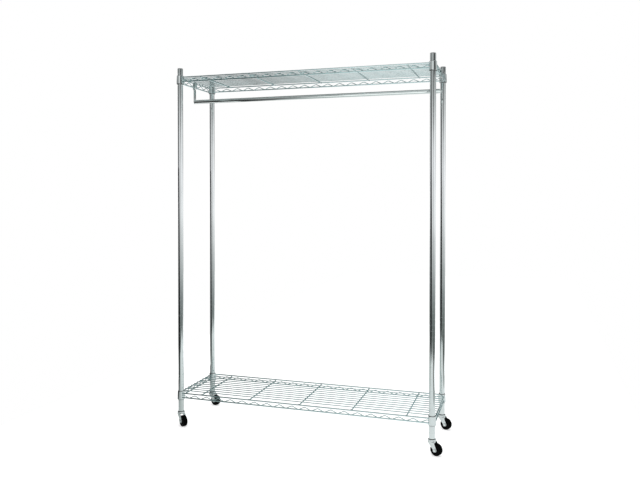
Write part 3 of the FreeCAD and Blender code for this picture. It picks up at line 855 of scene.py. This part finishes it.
def wheelTyre():
    look = tyreLook
    flat = look["half"] - look["shoulder"]
    half = [(look["inside"], look["half"])]
    for turn in (90, 75, 60, 45, 30, 15, 0):
        angle = math.radians(turn)
        half.append((wheelRadius - look["drop"] * (1 - math.cos(angle)),
                     flat + look["shoulder"] * math.sin(angle)))
    return bothFaces(half, look["sides"])


def topRace(base, top, outside):
    bore, wall, edge, rounding = raceLook["bore"], raceLook["wall"], raceLook["edge"], raceLook["rounding"]
    return turnOnLathe([
        (bore, top - wall), (outside - wall, top - wall), (outside - wall, base), (outside - edge, base),
        (outside, base + edge), (outside, top - rounding),
        (outside - 0.135 * rounding, top - 0.5 * rounding),
        (outside - 0.5 * rounding, top - 0.135 * rounding), (outside - rounding, top), (bore, top)],
        raceLook["sides"], ring=True)


def casterSocket(base, top, outside):
    # the flange is all that shows; the plug above it is inside the post. Its black finish is painted shade:
    # the dark ring stands in for the shadow in the gap under the post's foot
    edge, flangeEdge, tip = socketLook["edge"], socketLook["flangeEdge"], socketLook["tipEdge"]
    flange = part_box("front_left_lower_post")[0].z
    bore, plug = raceLook["bore"], outside - postLook["wall"] - socketLook["gap"]
    return turnOnLathe([
        (bore, base), (outside - edge, base), (outside, base + edge), (outside, flange - flangeEdge),
        (outside - flangeEdge, flange), (plug, flange), (plug, top - tip), (plug - tip, top),
        (bore, top)], socketLook["sides"], ring=True)


def casterStem(base, top, rivet):
    pin, tall, tip = stemLook["radius"], stemLook["rivetHeight"], stemLook["tipEdge"]
    return turnOnLathe([
        (rivet * 0.35, base), (rivet * 0.7, base + tall * 0.1), (rivet * 0.92, base + tall * 0.35),
        (rivet, base + tall * 0.65), (rivet, base + tall), (pin, base + tall), (pin, top - tip),
        (pin - tip, top)], stemLook["sides"])


for name, node, maker, slot, finish in (
        ("caster_race_cups", "caster_top_races", topRace, "caster_zinc", casterPlate),
        # the socket flanges are black as painted shade for the gap under each post's foot
        ("caster_socket_plugs", "caster_sockets", casterSocket, "black_plastic", blackPlastic),
        ("caster_stem_pins", "caster_stems", casterStem, "caster_zinc", casterPlate)):
    low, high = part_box(node)
    model = maker(low.z, high.z, high.x - postPlace["front_right"].x)
    parts = [copyOf(model, postPlace[corner]) for corner in corners]
    finishPiece(joinAll(parts, name), name, "rack", finish, [node])
    bpy.data.objects.remove(model)

# name, model, node, body, slot and finish of what each caster has on its moving bodies
casterModels = [("fork_pressing", forkSheet(), "caster_fork", "fork", "caster_zinc", casterPlate),
                ("axle_bolt_and_nut", axleBolt(), "caster_axle_bolt", "fork", "caster_zinc", casterPlate),
                ("wheel_moulding", wheelCore(), "wheel_core", "wheel", "wheel_plastic", wheelPlastic),
                ("tread", wheelTyre(), "tyre", "wheel", "tyre_rubber", tyreRubber)]
for corner in corners:
    # each wheel trails square to its axle
    axis = joints[corner + "_wheel_spin"]["axis"]
    heading = math.degrees(math.atan2(-axis[0], axis[1]))
    for name, model, node, body, slot, finish in casterModels:
        finishPiece(copyOf(model, postPlace[corner], heading), corner + "_" + name, corner + "_" + body,
                    finish, [corner + "_" + node])
for name, model, *rest in casterModels:
    bpy.data.objects.remove(model)
print("casters ready")


# the pieces that stay as the frame has them are steel parts inside tubes and bearings

for node in (["post_joint_inserts", "post_joint_studs", "rod_end_plugs", "swivel_bearing_balls"]
             + [corner + "_caster_spacer_bush" for corner in corners]):
    inside = frame["nodes"][node].data
    inside.materials.clear()
    inside.materials.append(turnedSteel)


# studio: a white floor and world, dark flags that only reflections see, soft lamps and the camera

# sheet: the floor's left, right, front and back; card: two of its corners; paperFrom: from where to
# where the painted shade on the sheet that metal sees turns into the painted, brighter glowing paper behind
studioLook = {"sheet": (-1.4, 1.5, -1.65, 6.0), "card": ((-0.951, -0.884, 0.03), (-1.388, -0.026, 1.25)),
              "white": (1.0, 1.0, 1.0), "fill": (0.75, 0.75, 0.75), "black": (0.0, 0.0, 0.0),
              "floor": (0.9, 0.9, 0.9), "lift": (0.35, 0.35, 0.35), "paper": (1.1, 1.12, 1.12),
              "paperFrom": (0.6, 1.2)}
# each lamp's place, what it points at, its size and its power
lampLook = {"overheadLamp": ((0.0, 0.0, 3.6), (0, 0, 0), (3.5, 2.5), 45),
            "frontLamp": ((2.2, -3.2, 2.6), (0, 0, 0.8), (1.2, 1.6), 22)}
cameraLook = {"place": (0.9984, -3.0049, 1.1087), "down": 0.894, "yaw": 17.584, "roll": -0.022,
              "lens": 37.726, "sensor": 36.0, "shiftY": -0.0575}
# painted shade on the paper sheet as bright metal sees it, from its left end to its right end: dark at the
# left end, light in the middle, darker again at the right end
sheetShadeStops = [(0.03, (0.05, 0.055, 0.055)), (0.12, (0.12, 0.13, 0.13)), (0.17, (0.42, 0.46, 0.455)),
              (0.28, (0.46, 0.51, 0.5)), (0.5, (0.74, 0.79, 0.785)), (0.76, (0.8, 0.85, 0.85)),
              (0.905, (0.8, 0.85, 0.85)), (0.935, (0.33, 0.36, 0.355))]
# the room as bright metal sees it, from straight down to straight up
roomStops = [(0.0, (1.6, 1.65, 1.65)), (0.372, (1.6, 1.65, 1.65)), (0.385, (0.27, 0.3, 0.29)),
             (0.396, (0.14, 0.16, 0.155)), (0.412, (0.19, 0.215, 0.21)), (0.425, (0.285, 0.31, 0.31)),
             (0.439, (0.45, 0.475, 0.475)), (0.457, (0.64, 0.66, 0.66)), (0.483, (0.93, 0.94, 0.95)),
             (0.517, (0.98, 0.98, 1.0)), (0.544, (0.86, 0.87, 0.88)), (0.57, (0.53, 0.55, 0.55)),
             (0.592, (0.42, 0.45, 0.45)), (0.615, (0.8, 0.83, 0.83)), (0.7, (0.8, 0.84, 0.84)),
             (0.82, (0.76, 0.8, 0.8)), (1.0, (0.62, 0.66, 0.66))]
# dark standing flags: heading from the x axis, half width and soft edge in degrees, then how dark
# they are at heights given as sines of elevation
flagLook = {
    "deep": (-121.0, 18.5, 5.0, ((-0.27, 0.0), (-0.24, 0.85), (-0.13, 1.0), (-0.04, 0.85),
                                 (0.02, 0.5), (0.06, 0.3))),
    "low": (-134.0, 18.0, 8.0, ((-0.26, 0.8), (-0.22, 0.0))),
    "wide": (-154.0, 25.0, 5.0, ((-0.2, 0.05), (-0.06, 0.92), (0.11, 0.88), (0.16, 0.5))),
    "right": (-18.0, 22.0, 10.0, ((-0.23, 0.85), (-0.2, 0.0))),
    "stand": (-57.0, 8.0, 8.0, ((-0.16, 0.2), (-0.1, 0.45), (0.06, 0.45), (0.1, 0.95), (0.17, 0.95),
                                (0.22, 0.3))),
    "screen": (-28.0, 33.0, 5.0, ((0.163, 0.0), (0.176, 0.85), (0.3, 0.85), (0.36, 0.0))),
    "back": (100.0, 47.0, 12.0, ((-0.26, 0.75), (-0.22, 0.0), (-0.01, 0.0), (0.05, 0.6), (0.1, 0.65),
                                 (0.3, 0.9)))}


def floorFinish():
    # the camera sees a white floor, and bright metal sees a glowing sheet of paper with painted shade
    # towards its left and right ends and painted brighter paper behind
    finish = Finish("studioFloor")
    cameraRay = finish.node("ShaderNodeLightPath", output="Is Camera Ray")
    glossyRay = finish.node("ShaderNodeLightPath", output="Is Glossy Ray")
    diffuse = finish.node("ShaderNodeBsdfDiffuse", None, {"Color": studioLook["floor"]})
    glow = finish.node("ShaderNodeEmission", None, {
        "Color": finish.mixColours(cameraRay, studioLook["black"], studioLook["lift"])})
    place = finish.node("ShaderNodeSeparateXYZ", None, {
        "Vector": finish.node("ShaderNodeTexCoord", output="Object")})
    left, right = studioLook["sheet"][:2]
    sheetShade = finish.node("ShaderNodeValToRGB", {"stops": sheetShadeStops},
                         {"Fac": (place - left) / (right - left)})
    along = Signal(finish, place.socket.node.outputs["Y"])
    start, end = studioLook["paperFrom"]
    paper = finish.node("ShaderNodeMapRange", None, {"Value": along, "From Min": start, "From Max": end})
    # painted light: for reflections the floor glows with the painted shade across it and the brighter paper
    # behind
    seen = finish.node("ShaderNodeEmission", None, {
        "Color": finish.mixColours(paper, sheetShade, studioLook["paper"])})
    both = finish.node("ShaderNodeAddShader", None, {0: diffuse, 1: glow})
    chosen = finish.node("ShaderNodeMixShader", None, {0: glossyRay, 1: both, 2: seen})
    finish.node("ShaderNodeOutputMaterial", None, {"Surface": chosen})
    return finish.owner


def studioFloor():
    left, right, front, back = studioLook["sheet"]
    clearSelection()
    bpy.ops.mesh.primitive_plane_add(size=1, location=((left + right) / 2, (front + back) / 2, 0))
    floor = settle("studio_floor")
    openForEdit(floor)
    bpy.ops.transform.resize(value=(right - left, back - front, 1),
                             center_override=((left + right) / 2, (front + back) / 2, 0))
    bpy.ops.object.mode_set(mode="OBJECT")
    floor.data.materials.append(floorFinish())


def sideCard():
    # a black card by the left posts that only reflections see
    start, end = (Vector(point) for point in studioLook["card"])
    along = (end - start).to_2d()
    clearSelection()
    bpy.ops.mesh.primitive_plane_add(size=1, location=(start + end) / 2,
                                     rotation=(math.radians(90), 0, math.atan2(along.y, along.x)))
    bpy.context.object.scale = (along.length, end.z - start.z, 1)
    card = settle("studio_card")
    card.data.materials.append(Finish("blackCard").surface({
        "Base Color": studioLook["black"], "Roughness": 1.0, "Specular IOR Level": 0.0}))
    card.visible_camera = card.visible_diffuse = card.visible_shadow = False


def studioWorld():
    world = bpy.data.worlds.new("studioWorld")
    bpy.context.scene.world = world
    finish = Finish("studioWorld", world)
    direction = finish.node("ShaderNodeTexCoord", output="Generated")
    split = finish.node("ShaderNodeSeparateXYZ", None, {"Vector": direction}).socket.node
    height = Signal(finish, split.outputs["Z"])
    room = finish.node("ShaderNodeValToRGB", {"stops": roomStops}, {"Fac": height * 0.5 + 0.5})

    def flag(heading, half, soft, strengths):
        turned = finish.node("ShaderNodeMapping", None, {
            "Vector": direction, "Rotation": (0, 0, -math.radians(heading))})
        parts = finish.node("ShaderNodeSeparateXYZ", None, {"Vector": turned}).socket.node
        x, y = (Signal(finish, parts.outputs[letter]) for letter in "XY")
        side = y.maths("ARCTAN2", y, x)
        away = side.maths("ABSOLUTE", side * (180 / math.pi))
        cover = finish.node("ShaderNodeMapRange", {"interpolation_type": "SMOOTHSTEP"}, {
            "Value": away, "From Min": half, "From Max": half + soft, "To Min": 1.0, "To Max": 0.0})
        stops = [(0.5 + 0.5 * sine, (strength, strength, strength)) for sine, strength in strengths]
        return cover * finish.node("ShaderNodeValToRGB", {"stops": stops}, {"Fac": height * 0.5 + 0.5})

    light = 1.0
    for look in flagLook.values():
        light = (1 - flag(*look)) * light
    seen = finish.mixColours(light, studioLook["black"], room)
    cameraRay = finish.node("ShaderNodeLightPath", output="Is Camera Ray")
    glossyRay = finish.node("ShaderNodeLightPath", output="Is Glossy Ray")
    colour = finish.mixColours(glossyRay, studioLook["fill"], seen)
    colour = finish.mixColours(cameraRay, colour, studioLook["white"])
    background = finish.node("ShaderNodeBackground", None, {"Color": colour})
    finish.node("ShaderNodeOutputWorld", None, {"Surface": background})


def softLamp(name, place, aim, size, power):
    lamp = bpy.data.lights.new(name, "AREA")
    lamp.shape = "RECTANGLE"
    lamp.size, lamp.size_y = size
    lamp.energy = power
    holder = bpy.data.objects.new(name, lamp)
    bpy.context.scene.collection.objects.link(holder)
    holder.location = place
    holder.rotation_euler = (Vector(aim) - Vector(place)).to_track_quat("-Z", "Y").to_euler()
    holder.visible_glossy = False


def placeCamera():
    camera = bpy.data.cameras.new("view")
    camera.sensor_width = cameraLook["sensor"]
    camera.lens = cameraLook["lens"]
    camera.shift_y = cameraLook["shiftY"]
    holder = bpy.data.objects.new("view", camera)
    bpy.context.scene.collection.objects.link(holder)
    holder.location = cameraLook["place"]
    holder.rotation_euler = [math.radians(angle) for angle in
                             (90 - cameraLook["down"], cameraLook["roll"], cameraLook["yaw"])]
    bpy.context.scene.camera = holder


studioFloor()
sideCard()
studioWorld()
for name, look in lampLook.items():
    softLamp(name, *look)
placeCamera()
bpy.context.scene.view_settings.view_transform = "Standard"
print("studio ready")
